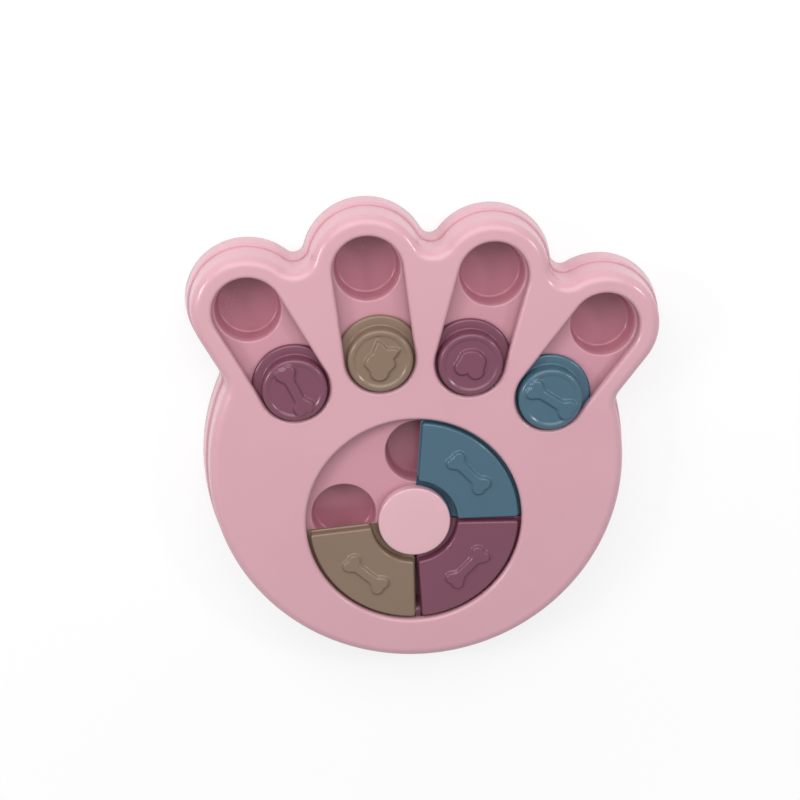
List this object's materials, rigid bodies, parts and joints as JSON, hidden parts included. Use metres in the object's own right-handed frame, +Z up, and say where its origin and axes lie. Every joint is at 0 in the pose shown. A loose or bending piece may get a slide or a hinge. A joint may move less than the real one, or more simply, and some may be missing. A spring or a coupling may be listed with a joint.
{
  "type": "slow feeder board",
  "caption": "Paw-shaped slow feeder: round sliders in toe slots and quarter-ring sliders round a hub cover shallow treat cups, in a screwed plastic housing on rubber feet.",
  "frame": {"origin": "on the table under the middle of the outline", "axes": "+Z up, +Y from the heel to the toes, +X to the right as in the picture"},
  "size_m": [0.2478, 0.2505, 0.0352],
  "materials": {
    "pink": "moulded, glossy",
    "deep_pink": "moulded, glossy",
    "mauve": "moulded, glossy",
    "beige": "moulded, glossy",
    "teal": "moulded, glossy",
    "steel": "plated",
    "rubber": "matt"
  },
  "bodies": {
    "housing": {"top_cover": "pink", "treat_tray": "deep_pink", "base_pan": "pink", "hub_cap": "pink", "hub_screw": "steel", "case_screws": "steel", "foot_toe_1": "rubber", "foot_toe_2": "rubber", "foot_toe_3": "rubber", "foot_toe_4": "rubber", "foot_heel_left": "rubber", "foot_heel_right": "rubber"},
    "bone_slider_left": {"bone_slider_left": "mauve"},
    "carrot_slider": {"carrot_slider": "beige"},
    "heart_slider": {"heart_slider": "mauve"},
    "bone_slider_right": {"bone_slider_right": "teal"},
    "palm_slider_mauve": {"palm_slider_mauve": "mauve"},
    "palm_slider_teal": {"palm_slider_teal": "teal"},
    "palm_slider_beige": {"palm_slider_beige": "beige"}
  },
  "joints": [
    {"name": "bone_slider_left_slide", "type": "slide", "parent": "housing", "child": "bone_slider_left", "axis": [-0.5446, 0.8387, 0], "range_m": [0, 0.0463]},
    {"name": "carrot_slider_slide", "type": "slide", "parent": "housing", "child": "carrot_slider", "axis": [-0.1908, 0.9816, 0], "range_m": [0, 0.0463]},
    {"name": "heart_slider_slide", "type": "slide", "parent": "housing", "child": "heart_slider", "axis": [0.1908, 0.9816, 0], "range_m": [0, 0.0463]},
    {"name": "bone_slider_right_slide", "type": "slide", "parent": "housing", "child": "bone_slider_right", "axis": [0.5446, 0.8387, 0], "range_m": [0, 0.0463]},
    {"name": "palm_mauve_turn", "type": "hinge", "parent": "housing", "child": "palm_slider_mauve", "pos_m": [0, -0.04171, 0.026], "axis": [0, 0, 1], "continuous": true},
    {"name": "palm_teal_turn", "type": "hinge", "parent": "palm_slider_mauve", "child": "palm_slider_teal", "pos_m": [0, -0.04171, 0.026], "axis": [0, 0, 1], "range_deg": [0, 48]},
    {"name": "palm_beige_turn", "type": "hinge", "parent": "palm_slider_mauve", "child": "palm_slider_beige", "pos_m": [0, -0.04171, 0.026], "axis": [0, 0, 1], "range_deg": [-48, 0]}
  ]
}
